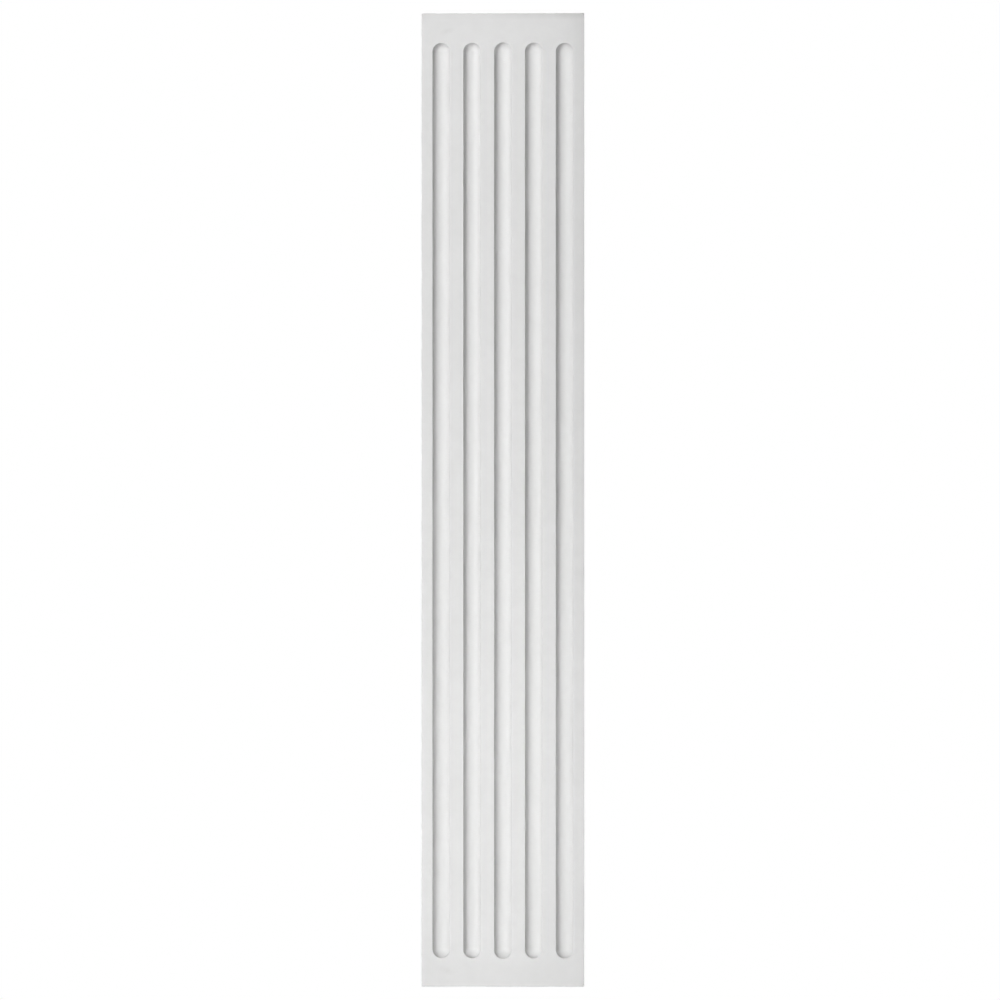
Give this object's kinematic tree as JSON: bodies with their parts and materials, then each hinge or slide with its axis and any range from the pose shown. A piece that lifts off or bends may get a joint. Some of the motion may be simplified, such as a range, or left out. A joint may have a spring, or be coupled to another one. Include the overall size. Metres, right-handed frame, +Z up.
{
  "type": "pilaster shaft",
  "caption": "Flat white plaster pilaster shaft for a wall, square at head and foot, with a row of round-ended flutes down its face.",
  "frame": {"origin": "centre of the flat back face, where the wall touches it", "axes": "+Z up along the shaft, +X across it, and the fluted face looks along -Y"},
  "size_m": [0.201, 0.025, 1.2],
  "materials": {
    "white_plaster": "bare cast plaster, matt, off-white"
  },
  "bodies": {
    "root": {"pilaster_shaft": "white_plaster"}
  },
  "joints": []
}
